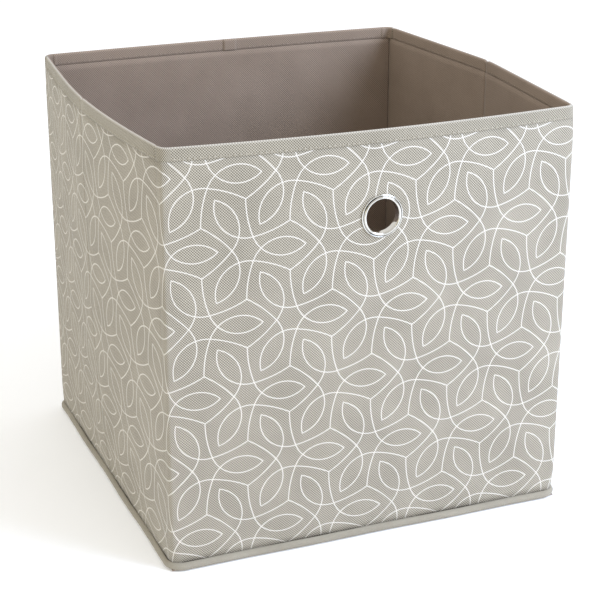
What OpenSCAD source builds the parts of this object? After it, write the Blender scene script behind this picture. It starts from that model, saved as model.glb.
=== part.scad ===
// Collapsible fabric storage bin: a square, open-topped box of non-woven fabric on cardboard.
// Each wall is a printed cover, a cardboard board and a plain lining, held together by a
// binding round the rim. The side walls are creased down the middle and fold inwards, so that
// the front wall comes back flat against the rear wall. A loose covered board stiffens the base.
// Millimetres, +Z up, origin on the floor in the middle of the base, front wall at -Y.

/* [Bin] */
// Width and depth of the square base, over the piping
bin_side = 320; // [280:1:380]
// Height from the floor to the rim
bin_h = 310; // [240:1:380]

/* [Wall] */
// Thickness of the printed outer fabric
cover_t = 0.6; // [0.4:0.1:1]
// Thickness of the cardboard in each wall
board_t = 2.0; // [1.5:0.1:2.5]
// Thickness of the plain inner fabric
lining_t = 0.6; // [0.4:0.1:1]
// Height of the rim binding outside
binding_out_h = 11; // [8:0.5:16]
// Height of the rim binding inside
binding_in_h = 12; // [8:0.5:16]
// Distance from a board's edge to the fold line beside it
board_inset = 1.5; // [1:0.5:4]

/* [Base] */
// How far the base piping stands proud of the walls
piping_w = 4.5; // [3:0.5:6]
// Height of the base piping
piping_h = 6; // [5.5:0.5:8]
// Thickness of the sewn base fabric
base_fabric_t = 1; // [0.6:0.1:1.2]
// Thickness of the cardboard in the loose base board
base_core_t = 2.8; // [2:0.1:3]
// Thickness of the fabric round the loose base board
base_cover_t = 0.5; // [0.3:0.1:0.6]

/* [Eyelet] */
// Radius of the finger hole through the eyelet
eyelet_bore_r = 12; // [10:0.5:14]
// Outer radius of the eyelet's rolled flange
eyelet_flange_r = 15.5; // [15:0.5:18]
// Height of the rolled flange in front of the cover
eyelet_dome_h = 1.5; // [1:0.1:1.7]
// Distance from the rim down to the middle of the eyelet
eyelet_drop = 61; // [45:1:90]

/* [Fit] */
// Gap between a folded wall and the wall that it lies against
fold_gap = 0.3; // [0.3:0.05:0.5]
// Gap between the two halves of a side wall at the crease
crease_gap = 0.4; // [0.3:0.05:0.6]
// Gap under the moving walls and under the loose base board
under_gap = 0.4; // [0.3:0.05:0.6]

/* [Hidden] */
$fn = 64;
WALL_NODES = [for (w = ["rear", "front", "left_rear", "left_front", "right_rear", "right_front"])
    for (p = ["cover", "board", "lining", "binding"]) str(w, "_", p)];

wall_t = cover_t + board_t + lining_t;
wall_half = bin_side / 2 - piping_w;        // outer face of each wall
inner_half = wall_half - wall_t;            // inner face of each wall
fold_half = inner_half - fold_gap;          // corner fold line, just inside the inner face
wall_z0 = piping_h + under_gap;             // moving walls stand clear of the piping
rim_z = bin_h;
eyelet_z = bin_h - eyelet_drop;
base_board_z0 = base_fabric_t + under_gap;
base_board_t = base_core_t + 2 * base_cover_t;

// Eyelet: a barrel through the wall, a domed flange outside and a curled lip inside.
barrel_t = 0.8;
barrel_r = eyelet_bore_r + barrel_t;
wall_hole_r = barrel_r + 0.2;
washer_t = 0.8;
washer_in_r = barrel_r + 0.1;
lip_w = 2;
lip_h = 0.7;
washer_proud = washer_t + lip_h;
base_board_half = inner_half - washer_proud - 0.8;
over = 1;                                   // cutters run past the faces they cut

PRINTED = "#b9b3a8";
PLAIN = "#9a8e7f";
BAND = "#a89c8c";
CARD = "#b08f62";
METAL = "#c9ccd0";

// ---- Plan outlines of a wall's layers -------------------------------------------------

// Depths from the wall's inner face, outwards.
V_LINING = [0, lining_t];
V_BOARD = [lining_t, lining_t + board_t];
V_COVER = [lining_t + board_t, wall_t];
V_ALL = [0, wall_t];

// A quarter of a ring between two depths, round a corner of the bin.
module corner_arc(v) {
    intersection() {
        difference() {
            circle(r = v[1]);
            if (v[0] > 0) circle(r = v[0]);
        }
        square(wall_t + over);
    }
}

// A layer of the front or rear wall, +Y outwards. It may turn both corners.
module long_layer(v, turns_corner) {
    translate([-inner_half, v[0]]) square([2 * inner_half, v[1] - v[0]]);
    if (turns_corner) {
        translate([inner_half, 0]) corner_arc(v);
        translate([-inner_half, 0]) mirror([1, 0]) corner_arc(v);
    }
}

// A layer of half a side wall, at the rear right, held back at its ends by inset.
module half_layer(v, inset) {
    y0 = crease_gap / 2 + inset;
    translate([inner_half + v[0], y0]) square([v[1] - v[0], fold_half - inset - y0]);
}

// ---- Placing -----------------------------------------------------------------------

module slab(z0, z1) {
    translate([0, 0, z0]) linear_extrude(z1 - z0) children();
}

module at_rear() {
    translate([0, inner_half, 0]) children();
}

module at_front() {
    mirror([0, 1, 0]) at_rear() children();
}

// side_x and side_y are 1 or -1: right or left, rear or front.
module at_half(side_x, side_y) {
    mirror([side_x < 0 ? 1 : 0, 0, 0]) mirror([0, side_y < 0 ? 1 : 0, 0]) children();
}

// ---- Wall pieces --------------------------------------------------------------------

// Binding: an upside-down channel over the rim, flush with the cover and the lining.
module long_binding() {
    slab(rim_z - binding_out_h, rim_z) long_layer(V_COVER, true);
    slab(rim_z - binding_in_h, rim_z) long_layer(V_LINING, false);
    slab(rim_z - cover_t, rim_z) long_layer(V_ALL, true);
}

module half_binding() {
    slab(rim_z - binding_out_h, rim_z) half_layer(V_COVER, 0);
    slab(rim_z - binding_in_h, rim_z) half_layer(V_LINING, 0);
    slab(rim_z - cover_t, rim_z) half_layer(V_ALL, 0);
}

// piece is one of cover, board, lining and binding; z0 is the wall's lower edge.
module long_wall(piece, z0) {
    if (piece == "cover")
        color(PRINTED) slab(z0, rim_z - binding_out_h) long_layer(V_COVER, true);
    if (piece == "board")
        color(CARD) slab(z0, rim_z - cover_t) long_layer(V_BOARD, false);
    if (piece == "lining")
        color(PLAIN) slab(z0, rim_z - binding_in_h) long_layer(V_LINING, false);
    if (piece == "binding")
        color(BAND) long_binding();
}

module side_half(piece) {
    if (piece == "cover")
        color(PRINTED) slab(wall_z0, rim_z - binding_out_h) half_layer(V_COVER, 0);
    if (piece == "board")
        color(CARD) slab(wall_z0, rim_z - cover_t) half_layer(V_BOARD, board_inset);
    if (piece == "lining")
        color(PLAIN) slab(wall_z0, rim_z - binding_in_h) half_layer(V_LINING, 0);
    if (piece == "binding")
        color(BAND) half_binding();
}

// Lays a piece turned about the Z axis on the front wall, with +Z pointing out of the bin.
module on_front_face() {
    translate([0, -wall_half, eyelet_z]) rotate([90, 0, 0]) children();
}

module eyelet_hole() {
    on_front_face() translate([0, 0, -wall_t - over])
        cylinder(r = wall_hole_r, h = wall_t + 2 * over);
}

module rear_wall(piece) {
    at_rear() long_wall(piece, base_fabric_t);
}

module front_wall(piece) {
    if (piece == "binding") at_front() long_wall(piece, wall_z0);
    else difference() {
        at_front() long_wall(piece, wall_z0);
        eyelet_hole();
    }
}

// ---- Eyelet ---------------------------------------------------------------------------

// A rounded lip of the given width and height, its flat side on the X axis.
module lip_2d(r_in, width, height) {
    r = (width * width / 4 + height * height) / (2 * height);
    intersection() {
        translate([r_in + width / 2, height - r]) circle(r = r);
        translate([r_in, 0]) square([width, height + over]);
    }
}

module eyelet() {
    depth = wall_t + washer_t;
    color(METAL) on_front_face() rotate_extrude() {
        translate([eyelet_bore_r, -depth]) square([barrel_t, depth]);
        lip_2d(eyelet_bore_r, eyelet_flange_r - eyelet_bore_r, eyelet_dome_h);
        translate([0, -depth]) mirror([0, 1]) lip_2d(eyelet_bore_r, lip_w, lip_h);
    }
}

module eyelet_washer() {
    color(METAL) on_front_face() translate([0, 0, -wall_t - washer_t]) difference() {
        cylinder(r = eyelet_flange_r, h = washer_t);
        translate([0, 0, -over]) cylinder(r = washer_in_r, h = washer_t + 2 * over);
    }
}

// ---- Base -------------------------------------------------------------------------------

module rounded_square(half, r) {
    for (sx = [-1, 1], sy = [-1, 1]) translate([sx * (half - r), sy * (half - r)]) circle(r = r);
    square([2 * half, 2 * (half - r)], center = true);
    square([2 * (half - r), 2 * half], center = true);
}

module base_fabric() {
    color(PLAIN) slab(0, base_fabric_t) rounded_square(wall_half, wall_t);
}

// Section of the piping, its inner side on the Y axis: straight-sided with round top and foot.
module piping_2d() {
    r = piping_w / 2;
    translate([r, r]) circle(r = r);
    translate([r, piping_h - r]) circle(r = r);
    translate([0, r]) square([piping_w, piping_h - 2 * r]);
}

// One side of the piping and the corner after it, both against the wall's outer face.
module piping_side() {
    translate([wall_half, inner_half, 0]) rotate([90, 0, 0])
        linear_extrude(2 * inner_half) piping_2d();
    translate([inner_half, inner_half, 0])
        rotate_extrude(angle = 90) translate([wall_t, 0]) piping_2d();
}

module base_piping() {
    color(BAND) for (turn = [0:3]) rotate([0, 0, 90 * turn]) piping_side();
}

module base_board() {
    side = 2 * (base_board_half - base_cover_t);
    color(CARD) translate([-side / 2, -side / 2, base_board_z0 + base_cover_t])
        cube([side, side, base_core_t]);
}

// Fabric sleeve round the base board, open along the rear edge, where the board goes in.
module base_board_cover() {
    side = 2 * base_board_half;
    inside = side - 2 * base_cover_t;
    color(PLAIN) difference() {
        translate([-side / 2, -side / 2, base_board_z0]) cube([side, side, base_board_t]);
        translate([-inside / 2, -inside / 2, base_board_z0 + base_cover_t])
            cube([inside, side, base_core_t]);
    }
}

// ---- Nodes --------------------------------------------------------------------------------

rear_wall("cover");  // rear_cover
rear_wall("board");  // rear_board
rear_wall("lining");  // rear_lining
rear_wall("binding");  // rear_binding
front_wall("cover");  // front_cover
front_wall("board");  // front_board
front_wall("lining");  // front_lining
front_wall("binding");  // front_binding
at_half(-1, 1) side_half("cover");  // left_rear_cover
at_half(-1, 1) side_half("board");  // left_rear_board
at_half(-1, 1) side_half("lining");  // left_rear_lining
at_half(-1, 1) side_half("binding");  // left_rear_binding
at_half(-1, -1) side_half("cover");  // left_front_cover
at_half(-1, -1) side_half("board");  // left_front_board
at_half(-1, -1) side_half("lining");  // left_front_lining
at_half(-1, -1) side_half("binding");  // left_front_binding
at_half(1, 1) side_half("cover");  // right_rear_cover
at_half(1, 1) side_half("board");  // right_rear_board
at_half(1, 1) side_half("lining");  // right_rear_lining
at_half(1, 1) side_half("binding");  // right_rear_binding
at_half(1, -1) side_half("cover");  // right_front_cover
at_half(1, -1) side_half("board");  // right_front_board
at_half(1, -1) side_half("lining");  // right_front_lining
at_half(1, -1) side_half("binding");  // right_front_binding
eyelet();
eyelet_washer();
base_fabric();
base_piping();
base_board();
base_board_cover();
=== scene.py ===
"""Visual model of a collapsible fabric storage bin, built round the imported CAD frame.

Metres, +Z up, front wall at -Y. Each wall is drawn in plan along its inner face: s runs along
the wall from its middle, and v is the depth outwards from the inner face. The cloth's own
pattern places are u, the way round the bin from the front left corner, and z.
"""
import math

import bmesh
import bpy
from mathutils import Matrix, Vector


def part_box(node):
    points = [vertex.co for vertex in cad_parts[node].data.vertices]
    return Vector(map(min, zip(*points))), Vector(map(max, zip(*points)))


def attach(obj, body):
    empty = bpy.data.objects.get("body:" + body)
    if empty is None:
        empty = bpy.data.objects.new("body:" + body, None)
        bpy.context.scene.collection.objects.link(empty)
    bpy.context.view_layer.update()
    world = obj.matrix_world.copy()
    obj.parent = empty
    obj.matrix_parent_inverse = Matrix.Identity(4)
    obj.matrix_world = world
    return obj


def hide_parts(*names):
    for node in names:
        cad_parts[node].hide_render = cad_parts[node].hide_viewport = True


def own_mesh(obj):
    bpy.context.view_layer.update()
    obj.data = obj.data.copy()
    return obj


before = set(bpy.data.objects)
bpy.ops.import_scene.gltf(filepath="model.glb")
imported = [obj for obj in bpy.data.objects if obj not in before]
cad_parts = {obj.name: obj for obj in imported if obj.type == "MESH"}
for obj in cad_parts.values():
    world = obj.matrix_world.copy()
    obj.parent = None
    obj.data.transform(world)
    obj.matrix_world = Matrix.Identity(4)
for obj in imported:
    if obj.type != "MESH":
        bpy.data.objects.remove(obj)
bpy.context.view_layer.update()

MM = 0.001
TINY = 0.01 * MM                                 # closer than this is the same place

# ---- Sizes taken from the frame ------------------------------------------------------------

BOARD_LO, BOARD_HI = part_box("front_board")
OUTER = -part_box("front_cover")[0].y              # outer face of the walls
INNER = -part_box("front_lining")[1].y             # inner face of the walls
WALL_T = OUTER - INNER
COVER_T = BOARD_LO.y + OUTER
BOARD_T = BOARD_HI.y - BOARD_LO.y
LINING_T = WALL_T - COVER_T - BOARD_T
RIM_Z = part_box("front_binding")[1].z
BAND_Z = RIM_Z - 9.5 * MM                        # lower edge of the rim binding, a little drawn up
FOOT_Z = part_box("front_cover")[0].z              # foot of the walls that move
BASE_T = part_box("base_fabric")[1].z
PIPING_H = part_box("base_piping")[1].z
EYELET_LO, EYELET_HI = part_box("eyelet")
EYELET_Z = (EYELET_LO.z + EYELET_HI.z) / 2
EYELET_R = (EYELET_HI.x - EYELET_LO.x) / 2
GROOVE_R = EYELET_R - 1.2 * MM                   # between the eyelet's roll and its flange

# ---- Shape of the filled bin's walls ---------------------------------------------------------

# Outward bow of each wall: how far, and how soft its middle is low down and at the rim.
# The softness is 0 for a V with its point at the crease, and over 1 for a smooth arc. At the
# rim it is given for each half of the wall, the half with s below 0 first.
BOWS = {
    "front": {"depth": 8.5 * MM, "soft_low": 3.0, "soft_rim": (3.0, 3.0)},
    "rear": {"depth": 3.0 * MM, "soft_low": 3.0, "soft_rim": (3.0, 3.0)},
    "left": {"depth": 10.5 * MM, "soft_low": 0.08, "soft_rim": (1.5, 0.35)},
    "right": {"depth": 13.0 * MM, "soft_low": 0.04, "soft_rim": (0.06, 0.06)},
}
BOW_RISE = 3.2                                   # how quickly the bow grows above the foot
RIPPLE = 0.35 * MM                               # slight waviness of cloth on card
CORNER_BACK = 5.0 * MM                           # a wall's flat ends this far before a corner
FLAT_HALF = INNER - CORNER_BACK
TUCK_DIVE = 0.65 * MM                            # how far tucked cloth stays under the corner's
CORNER_STEPS = 16                                # columns of cloth round a corner
GRIP_ROUND = 0.56                                # a corner's grip at the rim and at the foot
GRIP_GAIN = 0.4                                  # how much tighter it is at mid height
GRIP_BELOW_RIM = 30 * MM                         # distance from the rim to where it is tightest
GRIP_ABOVE_FOOT = 18 * MM                        # the same from the foot


def held_in_range(x):
    """A number held between 0 and 1."""
    return min(max(x, 0), 1)


def bow(wall, s, z):
    """Distance that a wall stands out: none at the foot or at the ends of its flat."""
    shape = BOWS[wall]
    t = held_in_range((z - FOOT_Z) / (RIM_Z - FOOT_Z))
    rise = 1 - (1 - t) ** BOW_RISE
    at_rim = shape["soft_rim"][0 if s < 0 else 1]
    soft = shape["soft_low"] + (at_rim - shape["soft_low"]) * t ** 3
    q = min(abs(s) / FLAT_HALF, 1)
    across = 1 - (math.hypot(q, soft) - soft) / (math.hypot(1, soft) - soft)
    return shape["depth"] * rise * across


def ripple(u, z):
    """Slight waves in the cloth, none at the binding or the foot."""
    hold = math.sin(math.pi * held_in_range((z - FOOT_Z) / (BAND_Z - FOOT_Z)))
    wave = math.sin(u * 41 + 2.1 * math.sin(z * 23)) + 0.6 * math.sin(u * 97 - z * 61 + 1)
    return RIPPLE * hold * wave


def lean(wall, s, z):
    """Angle in plan between a bowed wall's normal and the straight wall's normal."""
    step = 0.5 * MM
    sign = math.copysign(1, s)
    return math.atan2(sign * (bow(wall, s, z) - bow(wall, s - sign * step, z)), step)


def is_tucked(s):
    """Whether a place along a wall is past the end of the wall's flat."""
    return abs(s) - FLAT_HALF > TINY


def plan_point(wall, s, z, v):
    """Place on a wall in its own plan axes (along, outwards) from the inner face's line."""
    if is_tucked(s):
        return tucked_point(s, v)
    tilt = lean(wall, s, z)
    return s - v * math.sin(tilt), bow(wall, s, z) + v * math.cos(tilt)


def tucked_point(s, v):
    """Past its flat, cloth at depth v runs just under the cloth that turns the corner."""
    if v <= 0:
        return s, 0.0
    past = abs(s) - FLAT_HALF
    dive = TUCK_DIVE * min(past / MM, 1)
    return s, math.sqrt((CORNER_BACK + v) ** 2 - past ** 2) - CORNER_BACK - dive


def place(wall, along, out, z):
    """A wall's plan axes as a point of the bin."""
    if wall == "front":
        return Vector((along, -INNER - out, z))
    if wall == "rear":
        return Vector((along, INNER + out, z))
    if wall == "left":
        return Vector((-INNER - out, along, z))
    return Vector((INNER + out, along, z))


def cloth_u(wall, s):
    """The way round the bin, from the front left corner, to a place along a wall."""
    side = 2 * OUTER
    if wall == "front":
        return OUTER + s
    if wall == "right":
        return side + OUTER + s
    if wall == "rear":
        return 2 * side + OUTER - s
    return -(OUTER + s)


# ---- Meshes ----------------------------------------------------------------------------------


def spaced(a, b, count):
    """Evenly spaced numbers from a to b, with both of them."""
    return [a + (b - a) * i / (count - 1) for i in range(count)]


def mesh_object(name, points, faces, uvs, outward=None):
    """A smooth mesh. uvs holds one pattern place for each point.

    outward, where it is given, takes a face's centre to the direction that it should look in.
    """
    mesh = bpy.data.meshes.new(name)
    mesh.from_pydata([tuple(p) for p in points], [], faces)
    if outward:
        votes = sum(f.normal.dot(outward(f.center)) * f.area for f in mesh.polygons)
        if votes < 0:
            mesh.flip_normals()
    pattern = mesh.uv_layers.new(name="cloth")
    for loop in mesh.loops:
        pattern.data[loop.index].uv = uvs[loop.vertex_index]
    mesh.shade_smooth()
    obj = bpy.data.objects.new(name, mesh)
    bpy.context.scene.collection.objects.link(obj)
    return obj


def grid_faces(columns, rows, closed=False, first=0):
    """Faces of a grid whose points run column by column, joined up both ways if closed."""
    faces = []
    for i in range(columns if closed else columns - 1):
        near, far = first + i * rows, first + (i + 1) % columns * rows
        for j in range(rows if closed else rows - 1):
            k = (j + 1) % rows
            faces.append((near + j, far + j, far + k, near + k))
    return faces


def grid_object(name, columns, rows, outward):
    """A grid: columns is a list of functions row -> (point, pattern place)."""
    points, uvs = [], []
    for column in columns:
        for row in rows:
            point, uv = column(row)
            points.append(point)
            uvs.append(uv)
    return mesh_object(name, points, grid_faces(len(columns), len(rows)), uvs, outward)


def edit_mesh(obj, edit):
    """Changes a piece's mesh by a function of its bmesh."""
    bm = bmesh.new()
    bm.from_mesh(obj.data)
    edit(bm)
    bm.to_mesh(obj.data)
    bm.free()
    obj.data.shade_smooth()


def look_out(bm):
    """Turns a closed mesh's faces outwards."""
    bmesh.ops.recalc_face_normals(bm, faces=bm.faces)


def thicken(obj, thickness, offset=-1.0, group=None):
    """Gives a sheet its thickness: inwards at offset -1, both ways at 0, and outwards at 1."""
    solid = obj.modifiers.new("thickness", "SOLIDIFY")
    solid.thickness = thickness
    solid.offset = offset
    solid.use_even_offset = False
    if group:
        solid.vertex_group = group
    return solid


def weigh(obj, name, weight_of):
    """A vertex group with a weight worked out for each vertex."""
    group = obj.vertex_groups.new(name=name)
    for vertex in obj.data.vertices:
        group.add([vertex.index], weight_of(vertex), "REPLACE")


def settle(obj):
    """Makes a piece's modifiers part of its mesh."""
    graph = bpy.context.evaluated_depsgraph_get()
    graph.update()
    mesh = bpy.data.meshes.new_from_object(obj.evaluated_get(graph))
    obj.modifiers.clear()
    obj.data = mesh
    mesh.shade_smooth()


# ---- Columns of cloth along a wall and round its corners ----------------------------------------


def wall_outward(centre):
    """Outwards from the bin's middle, level."""
    return Vector((centre.x, centre.y, 0))


def side_at(wall, end):
    """The side wall that meets an end of the front or rear wall, and its end there."""
    return ("left" if end < 0 else "right"), (-1 if wall == "front" else 1)


def corner_grip(z):
    """How far the cloth is drawn into a corner: GRIP_ROUND is a round turn, 1 a tight fold."""
    below_rim = held_in_range((RIM_Z - z) / GRIP_BELOW_RIM)
    above_foot = held_in_range((z - FOOT_Z) / GRIP_ABOVE_FOOT)
    return GRIP_ROUND + GRIP_GAIN * math.sin(math.pi / 2 * min(below_rim, above_foot))


def walked_share(grip, share, steps=24):
    """Share of a corner curve's length that is covered at a share of its parameter."""

    def at(t):
        r = 1 - t
        near, far = 3 * r * r * t, 3 * r * t * t
        return r ** 3 + near * (1 - grip), t ** 3 + far * (1 - grip)

    lengths = [0.0]
    for i in range(steps):
        (ax, ay), (bx, by) = at(i / steps), at((i + 1) / steps)
        lengths.append(lengths[-1] + math.hypot(bx - ax, by - ay))
    whole, part = divmod(share * steps, 1)
    low = lengths[int(whole)]
    high = lengths[min(int(whole) + 1, steps)]
    return (low + (high - low) * part) / lengths[-1]


def corner_point(wall, end, share, z, v):
    """Place on the cloth that turns a corner, on a smooth curve from wall to side wall."""
    side, side_end = side_at(wall, end)
    step = 0.2 * MM

    def on(which, s):
        return place(which, *plan_point(which, s, z, v), z)

    start, stop = on(wall, end * FLAT_HALF), on(side, side_end * FLAT_HALF)
    handle = corner_grip(z) * (CORNER_BACK + v)
    leave = (start - on(wall, end * (FLAT_HALF - step))).normalized() * handle
    meet = (stop - on(side, side_end * (FLAT_HALF - step))).normalized() * handle
    t, r = share, 1 - share
    return (r ** 3 * start + 3 * r * r * t * (start + leave)
            + 3 * r * t * t * (stop + meet) + t ** 3 * stop)


def stations(span, count):
    """Places along a wall, with a few more where the flat ends and the cloth is tucked in."""
    low, high = [max(min(s, FLAT_HALF), -FLAT_HALF) for s in span]
    places = spaced(low, high, count)
    extra = spaced(0, 1, 6)[1:]
    if span[0] < -FLAT_HALF:
        places = [-FLAT_HALF + (span[0] + FLAT_HALF) * t for t in reversed(extra)] + places
    if span[1] > FLAT_HALF:
        places += [FLAT_HALF + (span[1] - FLAT_HALF) * t for t in extra]
    return places


def wall_columns(wall, span, count, v, corners=(), waves=True):
    """Columns of cloth along a wall at depth v, as functions z -> (point, pattern place).

    corners names the ends, -1 or 1, whose corner it turns. waves gives it the ripple.
    """

    def flat(s):
        def column(z):
            hold = max(1 - (abs(s) / FLAT_HALF) ** 8, 0) if waves else 0
            along, out = plan_point(wall, s, z, v + hold * ripple(cloth_u(wall, s), z))
            return place(wall, along, out, z), (cloth_u(wall, s), z)

        return column

    def turned(end, share):
        def column(z):
            walked = walked_share(corner_grip(z), share)
            s = end * (FLAT_HALF + 2 * (CORNER_BACK + WALL_T) * walked)
            return corner_point(wall, end, share, z, v), (cloth_u(wall, s), z)

        return column

    columns = [flat(s) for s in stations(span, count)]
    shares = [i / CORNER_STEPS for i in range(1, CORNER_STEPS + 1)]
    if -1 in corners:
        columns = [turned(-1, share) for share in reversed(shares)] + columns
    if 1 in corners:
        columns += [turned(1, share) for share in shares]
    return columns


# ---- Shader arithmetic -----------------------------------------------------------------------


def math_node(tree, operation, *values):
    """One Math node. A value is a number or another node's output."""
    node = tree.nodes.new("ShaderNodeMath")
    node.operation = operation
    for socket, value in zip(node.inputs, values):
        if isinstance(value, (int, float)):
            socket.default_value = value
        else:
            tree.links.new(value, socket)
    return node.outputs[0]


def clamped(tree, value, low=0):
    """A value held between low and 1."""
    return math_node(tree, "MINIMUM", math_node(tree, "MAXIMUM", value, low), 1)


def swayed(tree, value, other, amount):
    """A value moved by how far another one stands from 0.5."""
    return math_node(tree, "MULTIPLY_ADD", math_node(tree, "SUBTRACT", other, 0.5), amount, value)


def sum_of_squares(tree, x, y):
    """x squared plus y squared."""
    return math_node(tree, "ADD", math_node(tree, "MULTIPLY", x, x),
                     math_node(tree, "MULTIPLY", y, y))


def mix_colour(tree, share, a, b):
    """Two colours mixed by share. Each is a colour or another node's output."""
    node = tree.nodes.new("ShaderNodeMix")
    node.data_type = "RGBA"
    for socket, value in ((node.inputs[0], share), (node.inputs[6], a), (node.inputs[7], b)):
        if isinstance(value, tuple):
            socket.default_value = value
        else:
            tree.links.new(value, socket)
    return node.outputs[2]


def noise(tree, vector, scale, detail=3.0):
    """Smooth noise around 0.5, with scale features to the metre."""
    node = tree.nodes.new("ShaderNodeTexNoise")
    node.inputs["Scale"].default_value = scale
    node.inputs["Detail"].default_value = detail
    tree.links.new(vector, node.inputs["Vector"])
    return node.outputs["Fac"]


def bump(tree, shader, height, strength, distance):
    """Relief on a shader, distance deep."""
    node = tree.nodes.new("ShaderNodeBump")
    node.inputs["Strength"].default_value = strength
    node.inputs["Distance"].default_value = distance
    tree.links.new(height, node.inputs["Height"])
    tree.links.new(node.outputs["Normal"], shader.inputs["Normal"])


def cloth_place(tree):
    """The pattern place u, z in metres, and the same as a vector."""
    node = tree.nodes.new("ShaderNodeUVMap")
    node.uv_map = "cloth"
    split = tree.nodes.new("ShaderNodeSeparateXYZ")
    tree.links.new(node.outputs["UV"], split.inputs[0])
    return split.outputs[0], split.outputs[1], node.outputs["UV"]


def object_place(tree):
    """The place in the object's own axes, as a vector."""
    return tree.nodes.new("ShaderNodeTexCoord").outputs["Object"]


def new_material(name, roughness, metallic=0.0):
    """A material, its node tree and its shader."""
    material = bpy.data.materials.new(name)
    material.use_nodes = True
    shader = material.node_tree.nodes["Principled BSDF"]
    shader.inputs["Roughness"].default_value = roughness
    shader.inputs["Metallic"].default_value = metallic
    return material, material.node_tree, shader


# ---- The print: pointed leaves on a triangular lattice ---------------------------------------

PRINT_PERIOD = 61.5 * MM                         # distance between lattice points
PRINT_U = -3.9 * MM                              # where one lattice point lies on the cloth
PRINT_Z = 129.5 * MM
PRINT_LINE = 0.73 * MM                           # width of its lines
PRINT_SWELL = 0.4 * MM                           # how much wider they are on raised cloth
PRINT_BLUR = 0.5 * MM                            # softness of their edges
PRINT_COVER = 0.94                               # how well the ink hides the cloth
LEAF_RADIUS = 0.367                              # these five are in periods
LEAF_X = 0.425
LEAF_Y = 0.262
STEM_RADIUS = 1.25
STEM_CENTRE = (-0.125, 1.371)


def circle_distance(tree, x, y, centre, radius):
    """Distance to a circle's line."""
    dx = math_node(tree, "SUBTRACT", x, centre[0])
    dy = math_node(tree, "SUBTRACT", y, centre[1])
    reach = math_node(tree, "SQRT", sum_of_squares(tree, dx, dy))
    return math_node(tree, "ABSOLUTE", math_node(tree, "SUBTRACT", reach, radius))


def lattice_place(tree, u, z):
    """The place about the nearest point of a triangular lattice, in periods."""
    row = math.sqrt(3) / 2
    x = math_node(tree, "MULTIPLY", math_node(tree, "SUBTRACT", u, PRINT_U), 1 / PRINT_PERIOD)
    y = math_node(tree, "MULTIPLY", math_node(tree, "SUBTRACT", z, PRINT_Z), 1 / PRINT_PERIOD)
    grids = []
    for shift_x, shift_y in ((0, 0), (0.5, row)):
        gx = math_node(tree, "WRAP", math_node(tree, "SUBTRACT", x, shift_x), 0.5, -0.5)
        gy = math_node(tree, "WRAP", math_node(tree, "SUBTRACT", y, shift_y), row, -row)
        grids.append((gx, gy, sum_of_squares(tree, gx, gy)))
    first, second = grids
    pick = math_node(tree, "LESS_THAN", second[2], first[2])
    return [
        math_node(tree, "MULTIPLY_ADD", math_node(tree, "SUBTRACT", b, a), pick, a)
        for a, b in zip(first[:2], second[:2])
    ]


def leaf_lines(tree, u, z):
    """Distance in metres to the nearest line of the print, all of it circle arcs.

    Three leaves stand round each lattice point. Their mirror lines fold the plane into one
    wedge of 60 degrees, in which four circles draw every line.
    """
    x, y = lattice_place(tree, u, z)
    y = math_node(tree, "ABSOLUTE", y)
    sin60, cos60 = math.sin(math.pi / 3), math.cos(math.pi / 3)
    beyond = math_node(tree, "SUBTRACT", math_node(tree, "MULTIPLY", y, cos60),
                       math_node(tree, "MULTIPLY", x, sin60))
    twice = math_node(tree, "MULTIPLY", math_node(tree, "MAXIMUM", beyond, 0), 2)
    x = math_node(tree, "MULTIPLY_ADD", twice, sin60, x)
    y = math_node(tree, "ABSOLUTE", math_node(tree, "MULTIPLY_ADD", twice, -cos60, y))
    turned_x = 0.5 - cos60 * LEAF_X - sin60 * LEAF_Y
    turned_y = sin60 - sin60 * LEAF_X + cos60 * LEAF_Y
    circles = (
        ((LEAF_X, -LEAF_Y), LEAF_RADIUS),
        ((LEAF_X, LEAF_Y), LEAF_RADIUS),
        ((turned_x, turned_y), LEAF_RADIUS),
        (STEM_CENTRE, STEM_RADIUS),
    )
    nearest = None
    for centre, radius in circles:
        distance = circle_distance(tree, x, y, centre, radius)
        nearest = distance if nearest is None else math_node(tree, "MINIMUM", nearest, distance)
    return math_node(tree, "MULTIPLY", nearest, PRINT_PERIOD)


def printed_over(tree, colour, u, z, height):
    """A cloth's colour with the print on it, whose lines are beaded by the embossing."""
    distance = leaf_lines(tree, u, z)
    half_line = math_node(tree, "MULTIPLY_ADD", height, PRINT_SWELL,
                          PRINT_LINE / 2 - PRINT_SWELL / 2)
    edge = math_node(tree, "SUBTRACT", half_line, distance)
    ink = clamped(tree, math_node(tree, "MULTIPLY_ADD", edge, 1 / PRINT_BLUR, 0.5))
    return mix_colour(tree, math_node(tree, "MULTIPLY", ink, PRINT_COVER), colour, INK)


# ---- Materials -------------------------------------------------------------------------------

EMBOSS = 1.36 * MM                               # pitch of the cloth's bonded dots
HIGHLIGHT_H = 1.2 * MM                                # depth of the painted highlight along an edge
CARD_TONES = ((150, 124, 92), (186, 160, 124))
METAL_TONES = ((0.56, 0.54, 0.49, 1), (0.73, 0.71, 0.66, 1))
# Painted shade and painted dark reflections, laid into the colour of the eyelet's groove.
PAINTED_GROOVE_SHADE = (0.035, 0.032, 0.028, 1)
PAINTED_SHADE_HALF = 0.42 * MM                         # half the width of the painted shade in the groove
PAINTED_REFLECTION_LOBES = 3                                # patches of painted dark reflection round the eyelet


def srgb(red, green, blue):
    """A colour given as 0 to 255 values, as linear light."""

    def linear(c):
        c /= 255
        return c / 12.92 if c <= 0.04045 else ((c + 0.055) / 1.055) ** 2.4

    return (linear(red), linear(green), linear(blue), 1)


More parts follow.
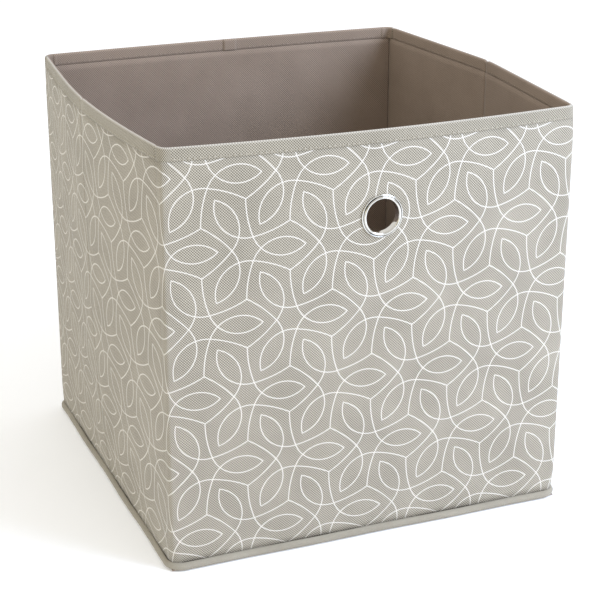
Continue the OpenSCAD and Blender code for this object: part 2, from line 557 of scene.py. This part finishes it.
def emboss(tree, u, z, pitch):
    """Height of the bonded dots of non-woven cloth, around 0.5: close diagonal rows."""
    turn = 2 * math.pi / pitch / math.sqrt(2)
    along = math_node(tree, "MULTIPLY", math_node(tree, "ADD", u, z), turn)
    across = math_node(tree, "MULTIPLY", math_node(tree, "SUBTRACT", u, z), turn)
    rows = math_node(tree, "MULTIPLY_ADD", math_node(tree, "COSINE", along), 0.31, 0.5)
    dots = math_node(tree, "MULTIPLY", math_node(tree, "COSINE", across), 0.25)
    return math_node(tree, "ADD", rows, dots)


def fabric(name, light, dark, contrast=0.9, pitch=EMBOSS, printed=False, highlight_z=None):
    """Non-woven cloth: two tones in embossed diagonal rows, faint blotches and fibres.

    It may have the print, and a height highlight_z just below which it is paler: a painted
    highlight along that edge.
    """
    material, tree, shader = new_material(name, 0.85)
    shader.inputs["Sheen Weight"].default_value = 0.12
    shader.inputs["Sheen Roughness"].default_value = 0.5
    shader.inputs["Specular IOR Level"].default_value = 0.25
    u, z, vector = cloth_place(tree)
    height = emboss(tree, u, z, pitch)
    blotch = noise(tree, vector, 28)
    fibre = noise(tree, vector, 900, 2)
    tone = swayed(tree, 0.5, height, contrast)
    tone = swayed(tree, tone, blotch, 0.5)
    tone = swayed(tree, tone, fibre, 0.35)
    colour = mix_colour(tree, tone, srgb(*dark), srgb(*light))
    if printed:
        colour = printed_over(tree, colour, u, z, height)
    if highlight_z:
        # A paler strip just below the given height: painted highlight.
        wear_and_highlight = math_node(tree, "MULTIPLY_ADD", z, 1 / HIGHLIGHT_H, 1 - highlight_z / HIGHLIGHT_H)
        wear_and_highlight = math_node(tree, "MULTIPLY", math_node(tree, "MAXIMUM", wear_and_highlight, 0), 0.45)
        colour = mix_colour(tree, wear_and_highlight, colour, INK)
    tree.links.new(colour, shader.inputs["Base Color"])
    surface = math_node(tree, "MULTIPLY_ADD", fibre, 0.4, height)
    bump(tree, shader, surface, 0.6, 0.25 * MM)
    return material


def cardboard(name):
    """Grey-brown board with fine grain."""
    material, tree, shader = new_material(name, 0.9)
    grain = noise(tree, object_place(tree), 240, 6)
    dark, light = CARD_TONES
    colour = mix_colour(tree, grain, srgb(*dark), srgb(*light))
    tree.links.new(colour, shader.inputs["Base Color"])
    bump(tree, shader, grain, 0.3, 0.2 * MM)
    return material


def chrome(name):
    """Polished metal, finely worn, with painted shade in the groove beside the roll, in patches
    that stand for painted dark reflections.

    A turned object's pattern place is its share of a turn and its radius.
    """
    material, tree, shader = new_material(name, 0.08, metallic=1.0)
    wear_and_highlight = noise(tree, object_place(tree), 320, 5)
    around, radius, _ = cloth_place(tree)
    # The groove is darkened in patches round the eyelet: painted shade and painted dark
    # reflections.
    off = math_node(tree, "ABSOLUTE", math_node(tree, "SUBTRACT", radius, GROOVE_R))
    groove = clamped(tree, math_node(tree, "MULTIPLY_ADD", off, -1 / PAINTED_SHADE_HALF, 1.25))
    swing = math_node(tree, "MULTIPLY_ADD", around, PAINTED_REFLECTION_LOBES * 2 * math.pi, -math.pi / 4)
    reflection_patches = math_node(tree, "MULTIPLY_ADD", math_node(tree, "COSINE", swing), 1.1, 0.35)
    painted_shade = math_node(tree, "MULTIPLY", groove, clamped(tree, reflection_patches, low=0.25))
    colour = mix_colour(tree, painted_shade, mix_colour(tree, wear_and_highlight, *METAL_TONES), PAINTED_GROOVE_SHADE)
    tree.links.new(colour, shader.inputs["Base Color"])
    rough = math_node(tree, "MULTIPLY_ADD", wear_and_highlight, 0.12, 0.05)
    tree.links.new(rough, shader.inputs["Roughness"])
    bump(tree, shader, wear_and_highlight, 0.05, 0.05 * MM)
    return material


INK = srgb(220, 214, 204)
PRINTED = fabric("printed_cloth", (184, 176, 160), (98, 92, 80), 1.55, printed=True)
PLAIN = fabric("lining_cloth", (164, 146, 130), (112, 97, 84), 1.1)
# The binding's top edge is paler towards the rim: painted highlight.
BAND = fabric("binding_cloth", (179, 171, 155), (97, 91, 78), 1.55, highlight_z=RIM_Z)
# The binding cloth again, darker for its inner side: painted shade.
BAND_INSIDE_SHADED = fabric("inner_binding_cloth_shaded", (166, 148, 132), (117, 102, 88), 1.1)
PIPING = fabric("piping_cloth", (178, 170, 154), (122, 115, 101), pitch=1.4 * MM)
THREAD = fabric("sewing_thread", (190, 182, 166), (146, 138, 122), pitch=0.8 * MM)
# The sewing thread again, darker for the inner stitches: painted shade.
THREAD_INSIDE_SHADED = fabric("inner_thread_shaded", (160, 144, 130), (122, 108, 95), pitch=0.8 * MM)
CARD = cardboard("grey_board")
METAL = chrome("polished_metal")


def finish_piece(obj, material, body, nodes=()):
    """Gives a piece its material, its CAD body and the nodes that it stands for."""
    obj.data.materials.append(material)
    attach(obj, body)
    if nodes:
        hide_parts(*nodes)


# ---- Walls -----------------------------------------------------------------------------------

LONG_WALLS = {"front": ("front", FOOT_Z), "rear": ("base_and_rear", BASE_T)}
HALVES = {
    "left_rear": ("left", 1),
    "left_front": ("left", -1),
    "right_rear": ("right", 1),
    "right_front": ("right", -1),
}
SIDE_WALLS = ("left", "right")
ROWS = 56
LONG_COLUMNS = 90
HALF_COLUMNS = 46

COVER_DROP = 0.35 * MM                           # moving covers hang this far below their boards
COVER_LAP = 0.5 * MM                             # how far a cover goes up under the binding
BOARD_BACK = 6.0 * MM                            # from a board's edge to the fold beside it
BOARD_BELOW_RIM = 1.2 * MM                       # top edge of a board
CREASE_SLIT = 0.02 * MM
CREASE_CLEAR = 7.0 * MM                          # nothing stands proud this near a crease
CREASE_END = 2.2 * MM                            # the lining closes the wall's end this near it
EYELET_HOLE_R = EYELET_R - 2.5 * MM

BAND_PROUD = 0.08 * MM                           # how far the binding stands out from the cover
BAND_ROUND = WALL_T / 2 + BAND_PROUD             # radius of its round top
BAND_LEAST = 0.06                                # its least share of full thickness
BAND_TUCKED = 0.55                               # its share where it is tucked into a corner
TUCK_DROP = 0.5 * MM                             # how much lower it is there
CREASE_THINNING = 0.1                            # how much thinner it is at a crease
CREASE_PINCH = 0.9 * MM                          # how far its top is pinched down there
PINCH_REACH = 3 * MM                             # how far along the wall the pinch goes
FOLD_PROUD = 0.35 * MM                           # how much further a fold in it stands out

SEAM_Z = BAND_Z + 1.6 * MM
STITCH = 2.4 * MM
STITCH_GAP = 1.0 * MM
STITCH_HALF = 0.28 * MM                          # half the width of a stitch
STITCH_END = 0.55                                # how narrow its ends are beside its middle
STITCH_SINK = 0.12 * MM                          # how far its ends go into the cloth
THREAD_T = 0.34 * MM
THREAD_LIFT = 0.05 * MM                          # how far above the binding its middle lies


def fold_flat(obj):
    """Gives a side wall's piece a mesh of its own."""
    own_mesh(obj)


def cut_eyelet_hole(obj):
    """A round hole where the eyelet is, cut through the finished layer."""
    bm = bmesh.new()
    bmesh.ops.create_cone(bm, segments=64, radius1=EYELET_HOLE_R, radius2=EYELET_HOLE_R,
                          depth=40 * MM, cap_ends=True)
    mesh = bpy.data.meshes.new("eyelet_cutter")
    bm.to_mesh(mesh)
    bm.free()
    turn = Matrix.Rotation(math.pi / 2, 4, "X")
    mesh.transform(Matrix.Translation((0, -OUTER, EYELET_Z)) @ turn)
    cutter = bpy.data.objects.new("eyelet_cutter", mesh)
    bpy.context.scene.collection.objects.link(cutter)
    cut = obj.modifiers.new("hole", "BOOLEAN")
    cut.object = cutter
    cut.solver = "EXACT"
    settle(obj)
    bpy.data.objects.remove(cutter)


def layer(name, wall, span, count, v, thickness, z_span, corners=(), waves=True, rows=ROWS):
    """One layer of a wall: its outer face at depth v, and its thickness inwards."""
    columns = wall_columns(wall, span, count, v, corners, waves)
    obj = grid_object(name, columns, spaced(*z_span, rows), wall_outward)
    thicken(obj, thickness)
    return obj


def lining(name, wall, span, count, foot):
    """The lining grows outwards from the inner face, and closes the wall's end at a crease."""
    columns = wall_columns(wall, span, count, 0, waves=False)
    obj = grid_object(name, columns, spaced(foot, BAND_Z, ROWS), wall_outward)
    full = WALL_T - COVER_T

    def depth(vertex):
        at_crease = wall in SIDE_WALLS and abs(vertex.co.y) <= CREASE_END
        return 1 if at_crease else LINING_T / full

    weigh(obj, "depth", depth)
    thicken(obj, full, offset=1, group="depth")
    return obj


def binding(name, wall, span, count, corners=(), extra=0.0):
    """The rim's binding: a strip down the middle of the wall, thickened to a round-topped band.

    extra is how much further than usual it stands out on each side.
    """
    top = RIM_Z - BAND_ROUND
    heights = spaced(BAND_Z, top, 8)
    heights += [top + BAND_ROUND * math.sin(math.pi / 2 * i / 6) for i in range(1, 7)]
    columns = wall_columns(wall, span, count, WALL_T / 2, corners, waves=False)
    obj = grid_object(name, columns, heights, wall_outward)
    side_wall = wall in SIDE_WALLS

    def width(vertex):
        over = max(vertex.co.z - top, 0) / BAND_ROUND
        share = max(math.sqrt(max(1 - over * over, 0)), BAND_LEAST)
        if not side_wall:
            return share
        if is_tucked(vertex.co.y):
            share *= BAND_TUCKED
        near_crease = max(1 - abs(vertex.co.y) / CREASE_CLEAR, 0)
        return share * (1 - CREASE_THINNING * near_crease)

    weigh(obj, "width", width)
    if side_wall:
        for vertex in obj.data.vertices:
            if is_tucked(vertex.co.y):
                vertex.co.z -= TUCK_DROP
            elif vertex.co.z > top:
                vertex.co.z -= CREASE_PINCH * max(1 - abs(vertex.co.y) / PINCH_REACH, 0)
    solid = thicken(obj, 2 * (BAND_ROUND + extra), offset=0, group="width")
    # The second material darkens the binding's inner side: painted shade.
    solid.material_offset = 1                    # the inner side has the second material
    return obj


def stitches(name, wall, span, v):
    """A line of running stitches along the binding, each a short flat strip with thickness."""
    low, high = [max(min(s, FLAT_HALF), -FLAT_HALF) for s in span]
    count = int((high - low) / (STITCH + STITCH_GAP))
    points, uvs, faces = [], [], []
    for i in range(count):
        start = low + (i + 0.5) * (high - low) / count - STITCH / 2
        faces += grid_faces(4, 2, first=len(points))
        for k in range(4):
            s = start + STITCH * k / 3
            at_end = k in (0, 3)
            half_w = STITCH_HALF * (STITCH_END if at_end else 1)
            sink = math.copysign(STITCH_SINK if at_end else 0, v)
            for dz in (-half_w, half_w):
                along, out = plan_point(wall, s, SEAM_Z, v - sink)
                points.append(place(wall, along, out, SEAM_Z + dz))
                uvs.append((s, SEAM_Z + dz))
    obj = mesh_object(name, points, faces, uvs, wall_outward)
    thicken(obj, THREAD_T, offset=0)
    return obj


def dress_rear_folds(body):
    """The lap where the binding's ends meet, and its small pleats at the rear corners."""
    folds = {
        "rear_rim_lap": (-1 * MM, 11 * MM),
        "rear_rim_left_pleat": (-FLAT_HALF, -FLAT_HALF + 2.5 * MM),
        "rear_rim_right_pleat": (FLAT_HALF - 2.5 * MM, FLAT_HALF),
    }
    for name, span in folds.items():
        fold = binding(name, "rear", span, 6, extra=FOLD_PROUD)
        finish_piece(fold, BAND, body)
        fold.data.materials.append(BAND_INSIDE_SHADED)


def dress_wall(name, wall, body, span, foot):
    """All the layers of a wall or of half a side wall, over a span of it and up from a foot."""
    side_wall = wall in SIDE_WALLS
    count = HALF_COLUMNS if side_wall else LONG_COLUMNS
    corners = () if side_wall else (-1, 1)
    outer_span = span if side_wall else (-FLAT_HALF, FLAT_HALF)
    cover_foot = foot - COVER_DROP if foot == FOOT_Z else foot
    cover = layer(name + "_cloth", wall, outer_span, count, WALL_T, COVER_T,
                  (cover_foot, BAND_Z + COVER_LAP), corners)
    board = layer(name + "_card", wall, (span[0] + BOARD_BACK, span[1] - BOARD_BACK), count // 2,
                  WALL_T - COVER_T, BOARD_T, (foot, RIM_Z - BOARD_BELOW_RIM),
                  waves=False, rows=ROWS // 2)
    inner = lining(name + "_lining_cloth", wall, span, count, foot)
    band = binding(name + "_rim_band", wall, outer_span, count, corners)
    sewn = [math.copysign(max(abs(s), CREASE_CLEAR), s) for s in span]
    outside = stitches(name + "_rim_stitches", wall, sewn, WALL_T + BAND_PROUD + THREAD_LIFT)
    inside = stitches(name + "_inner_stitches", wall, sewn, -BAND_PROUD - THREAD_LIFT)
    if wall == "front":
        for obj in (cover, board, inner):
            cut_eyelet_hole(obj)
    finish_piece(cover, PRINTED, body, [name + "_cover"])
    finish_piece(board, CARD, body, [name + "_board"])
    finish_piece(inner, PLAIN, body, [name + "_lining"])
    finish_piece(band, BAND, body, [name + "_binding"])
    band.data.materials.append(BAND_INSIDE_SHADED)
    if wall == "rear":
        dress_rear_folds(body)
    finish_piece(outside, THREAD, body)
    finish_piece(inside, THREAD_INSIDE_SHADED, body)
    if side_wall:
        depths = ((cover, WALL_T), (board, WALL_T - COVER_T), (inner, 0), (band, WALL_T / 2),
                  (outside, WALL_T + BAND_PROUD), (inside, -BAND_PROUD))
        for obj, v in depths:
            fold_flat(obj)


def dress_walls():
    """The front and rear walls, and the four halves of the side walls."""
    for wall, (body, foot) in LONG_WALLS.items():
        dress_wall(wall, wall, body, (-INNER, INNER), foot)
    for name, (wall, sign) in HALVES.items():
        ends = (CREASE_SLIT, INNER) if sign > 0 else (-INNER, -CREASE_SLIT)
        dress_wall(name, wall, name, ends, FOOT_Z)


# ---- Eyelet ------------------------------------------------------------------------------------

BORE_R = EYELET_R - 3.5 * MM
BARREL_R = BORE_R + 0.8 * MM                     # outside of the eyelet's barrel
BARREL_END = -WALL_T - 0.8 * MM                  # behind the wall, where it is rolled over


def turned_object(name, profile, centre_y):
    """A profile of (radius, forward) points spun about the eyelet's axis, forward being -Y."""
    steps = 96
    points, uvs = [], []
    for i in range(steps):
        a = 2 * math.pi * i / steps
        for radius, forward in profile:
            points.append((radius * math.cos(a), centre_y - forward,
                           EYELET_Z + radius * math.sin(a)))
            uvs.append((i / steps, radius))
    obj = mesh_object(name, points, grid_faces(steps, len(profile), closed=True), uvs)
    edit_mesh(obj, look_out)
    return obj


def arc(cx, cy, rx, ry, a0, a1, count):
    """Points on an ellipse between two angles in degrees."""
    return [(cx + rx * math.cos(math.radians(a)), cy + ry * math.sin(math.radians(a)))
            for a in spaced(a0, a1, count)]


def eyelet_profile():
    """Round the section: the front roll, the flange's edge, its back, the barrel, the back roll."""
    roll, rim, back_roll = 1.15 * MM, 0.55 * MM, 1.2 * MM
    front, back = 0.1 * MM, -0.1 * MM
    return (arc(BORE_R + roll, front, roll, 1.7 * MM, 180, 8, 16)
            + arc(EYELET_R - rim, front, rim, 0.7 * MM, 165, 0, 9)
            + [(EYELET_R - 0.3 * MM, back), (BARREL_R, back), (BARREL_R, BARREL_END)]
            + arc(BORE_R + back_roll, BARREL_END, back_roll, 0.8 * MM, 0, -180, 12))


def washer_profile():
    """A flat ring with its edges taken off, behind the wall and round the barrel."""
    edge = 0.25 * MM
    back, front = BARREL_END, -WALL_T - 0.05 * MM
    inner_r, outer_r = BARREL_R + 0.1 * MM, EYELET_R
    return [(inner_r, front), (outer_r - edge, front), (outer_r, front - edge),
            (outer_r, back + edge), (outer_r - edge, back), (inner_r + edge, back),
            (inner_r, back + edge)]


def dress_eyelet():
    """The rolled eyelet and the washer behind it, on the bowed front wall."""
    face_y = -OUTER - bow("front", 0, EYELET_Z)
    ring = turned_object("eyelet_ring", eyelet_profile(), face_y)
    finish_piece(ring, METAL, "front", ["eyelet"])
    washer = turned_object("eyelet_back_washer", washer_profile(), face_y)
    finish_piece(washer, METAL, "front", ["eyelet_washer"])


# ---- Base --------------------------------------------------------------------------------------

PIPING_PROUD = 2.8 * MM                          # how far it stands out from the walls
PIPING_CORNER = 13.0 * MM                        # corner radius over the piping
BASE_CLOTH_T = 0.4 * MM
BASE_CLOTH_SUNK = 0.3 * MM                       # how far its waves lie below its CAD solid's top


def rounded_path(half, radius, per_side=40, per_corner=14):
    """Points, outward directions and distances round a square with round corners."""
    path = []
    flat = half - radius
    for turn in range(4):
        spin = Matrix.Rotation(turn * math.pi / 2, 3, "Z")
        for i in range(per_side):
            y = -flat + 2 * flat * i / per_side
            path.append((spin @ Vector((half, y, 0)), spin @ Vector((1, 0, 0))))
        for i in range(per_corner):
            a = math.pi / 2 * i / per_corner
            out = Vector((math.cos(a), math.sin(a), 0))
            path.append((spin @ (Vector((flat, flat, 0)) + radius * out), spin @ out))
    placed, walked = [], 0.0
    for i, (point, out) in enumerate(path):
        if i:
            walked += (point - path[i - 1][0]).length
        placed.append((point, out, walked))
    return placed


def swept_ring(name, half, radius, section):
    """A closed section of (out, z) points swept round the base, with the cloth's small waves."""
    path = rounded_path(half, radius)
    points, uvs = [], []
    for point, out, walked in path:
        for j, (o, z) in enumerate(section):
            wave = 0.1 * MM * math.sin(walked * 210 + j) + 0.3 * MM * math.sin(walked * 57)
            points.append(point + out * (o + wave) + Vector((0, 0, z)))
            uvs.append((walked, j * 1.6 * MM))
    faces = grid_faces(len(path), len(section), closed=True)
    obj = mesh_object(name, points, faces, uvs)
    edit_mesh(obj, look_out)
    return obj


def crowd_to_rear(obj):
    """Gives a piece sewn to the base a mesh of its own."""
    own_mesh(obj)


def dress_piping():
    """The piping: a bead with a flat back against the walls."""
    half_h = PIPING_H / 2 - 0.05 * MM
    back = 0.1 * MM
    bead = [(0.0, half_h * 1.9), (0.0, half_h), (0.0, 0.1 * half_h)]
    bead += arc(back, PIPING_H / 2, PIPING_PROUD - back, half_h, -88, 88, 24)
    piping = swept_ring("base_piping_bead", OUTER, PIPING_CORNER - PIPING_PROUD, bead)
    finish_piece(piping, PIPING, "base_and_rear", ["base_piping"])
    crowd_to_rear(piping)
    return piping


def dress_base_cloth(piping):
    """The base fabric, sewn into the piping all round."""
    places = spaced(-OUTER + 0.5 * MM, OUTER - 0.5 * MM, 40)

    def column(x):
        def at(y):
            lift = 0.15 * MM * (math.sin(x * 60) + math.sin(y * 47 + 1))
            return Vector((x, y, BASE_T - BASE_CLOTH_SUNK + lift)), (x, y)

        return at

    cloth = grid_object("base_cloth", [column(x) for x in places], places,
                        lambda centre: Vector((0, 0, 1)))
    thicken(cloth, BASE_CLOTH_T)
    finish_piece(cloth, PLAIN, "base_and_rear", ["base_fabric"])
    crowd_to_rear(cloth)


# ---- Loose base board --------------------------------------------------------------------------

# Places near the sleeve's edge, as millimetres in from it: close together, for a round edge.
SLEEVE_EDGE = (0, 0.02, 0.08, 0.2, 0.4, 0.7, 1.1, 1.6, 2.2)
SLEEVE_MIDDLE = 38                               # places across the rest of the sleeve


def dress_base_board():
    """The loose base board's sleeve: a flat envelope with soft edges and slightly full faces."""
    lo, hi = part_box("base_board_cover")
    half, half_t = hi.x, (hi.z - lo.z) / 2
    middle = (lo.z + hi.z) / 2
    edge = [1 - d * MM / half for d in reversed(SLEEVE_EDGE)]
    places = [-x for x in reversed(edge)] + spaced(-edge[0], edge[0], SLEEVE_MIDDLE)[1:-1] + edge

    def fullness(a, b):
        """Share of the full thickness: a round, rather square edge."""
        inwards = min(1 - abs(a), 1 - abs(b)) * half / half_t
        return (1 - (1 - min(inwards, 1)) ** 3) ** (1 / 3) if inwards > 0 else 0

    points, uvs, faces = [], [], []
    n = len(places)
    for side in (1, -1):
        quads = grid_faces(n, n, first=len(points))
        faces += quads if side > 0 else [quad[::-1] for quad in quads]
        for a in places:
            for b in places:
                swell = 0.18 * MM * math.sin(a * 9 + side) * math.sin(b * 7)
                full = fullness(a, b)
                z = middle + side * max(half_t * full + swell * full, 0)
                points.append((a * half, b * half, z))
                uvs.append((a * half, b * half))
    sleeve = mesh_object("base_board_sleeve", points, faces, uvs)
    edit_mesh(sleeve, lambda bm: bmesh.ops.remove_doubles(bm, verts=bm.verts, dist=TINY))
    finish_piece(sleeve, PLAIN, "base_insert", ["base_board_cover"])
    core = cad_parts["base_board"]
    core.data.materials.clear()
    core.data.materials.append(CARD)


# ---- Studio --------------------------------------------------------------------------------------

VIEW_TURN = -22.14                               # degrees round from the front, and down
VIEW_DROP = 20.69
VIEW_DISTANCE = 1.28
VIEW_AIM = Vector((-0.0019, -0.0191, 0.1369))
VIEW_LENS = 97.67                                # millimetres, on a 36 mm sensor
LIGHT_AIM = Vector((0, 0, 0.15))
FLOOR_REACH = 6.0
FLOOR_Z = -0.6 * MM
FLOOR_GLOW = 0.12


def aim(obj, target):
    """Turns a camera, light or card towards a place."""
    obj.rotation_mode = "QUATERNION"
    obj.rotation_quaternion = (target - obj.location).to_track_quat("-Z", "Y")


def add_camera():
    """The camera, at the filled bin's three-quarter view from above."""
    data = bpy.data.cameras.new("camera")
    data.lens = VIEW_LENS
    data.sensor_width = 36
    data.clip_start = 0.05
    camera = bpy.data.objects.new("camera", data)
    a, e = math.radians(VIEW_TURN), math.radians(VIEW_DROP)
    back = Vector((math.sin(a) * math.cos(e), -math.cos(a) * math.cos(e), math.sin(e)))
    camera.location = VIEW_AIM + VIEW_DISTANCE * back
    aim(camera, VIEW_AIM)
    bpy.context.scene.collection.objects.link(camera)
    bpy.context.scene.camera = camera


def add_light(name, location, size, power, colour):
    """A round soft light aimed at the bin."""
    data = bpy.data.lights.new(name, "AREA")
    data.shape = "DISK"
    data.size = size
    data.energy = power
    data.color = colour
    light = bpy.data.objects.new(name, data)
    light.location = location
    aim(light, LIGHT_AIM)
    bpy.context.scene.collection.objects.link(light)


def staged_sheet(name, half_x, half_y, grey):
    """A flat matt sheet that belongs to the studio, and its shader."""
    mesh = bpy.data.meshes.new(name)
    mesh.from_pydata([(-half_x, -half_y, 0), (half_x, -half_y, 0), (half_x, half_y, 0),
                      (-half_x, half_y, 0)], [], [(0, 1, 2, 3)])
    material, _, shader = new_material(name, 0.9)
    shader.inputs["Base Color"].default_value = (grey, grey, grey, 1)
    mesh.materials.append(material)
    sheet = bpy.data.objects.new(name, mesh)
    bpy.context.scene.collection.objects.link(sheet)
    return sheet, shader


def add_dark_card(name, location, half_x, half_y):
    """A dark card, seen only in reflections, that gives the eyelet its dark streaks."""
    card, _ = staged_sheet(name, half_x, half_y, 0.02)
    card.location = location
    aim(card, Vector((0, -OUTER, EYELET_Z)))
    card.visible_camera = False
    card.visible_diffuse = False
    card.visible_shadow = False


def add_floor():
    """A pale floor that glows faintly, to come out white."""
    floor, shader = staged_sheet("floor", FLOOR_REACH, FLOOR_REACH, 0.94)
    floor.location.z = FLOOR_Z
    shader.inputs["Emission Color"].default_value = (1, 1, 1, 1)
    shader.inputs["Emission Strength"].default_value = FLOOR_GLOW


def add_studio():
    """White surroundings, a cool key light, a weak warm fill, the dark cards and the floor."""
    bpy.context.scene.view_settings.view_transform = "Standard"
    world = bpy.data.worlds.new("studio")
    bpy.context.scene.world = world
    world.use_nodes = True
    background = world.node_tree.nodes["Background"]
    background.inputs["Color"].default_value = (1, 1, 1, 1)
    background.inputs["Strength"].default_value = 1.0
    add_light("key", Vector((1.0, -1.0, 1.05)), size=1.0, power=31.5, colour=(0.65, 0.77, 1.0))
    add_light("fill", Vector((-1.8, -0.6, 1.0)), size=1.4, power=4.2, colour=(1.0, 0.89, 0.45))
    add_dark_card("card_right", Vector((1.1, -1.7, 0.45)), 0.7, 0.35)
    add_dark_card("card_left", Vector((-1.5, -1.1, 1.1)), 0.5, 0.35)
    add_floor()


add_camera()
add_studio()
dress_walls()
dress_eyelet()
dress_base_cloth(dress_piping())
dress_base_board()
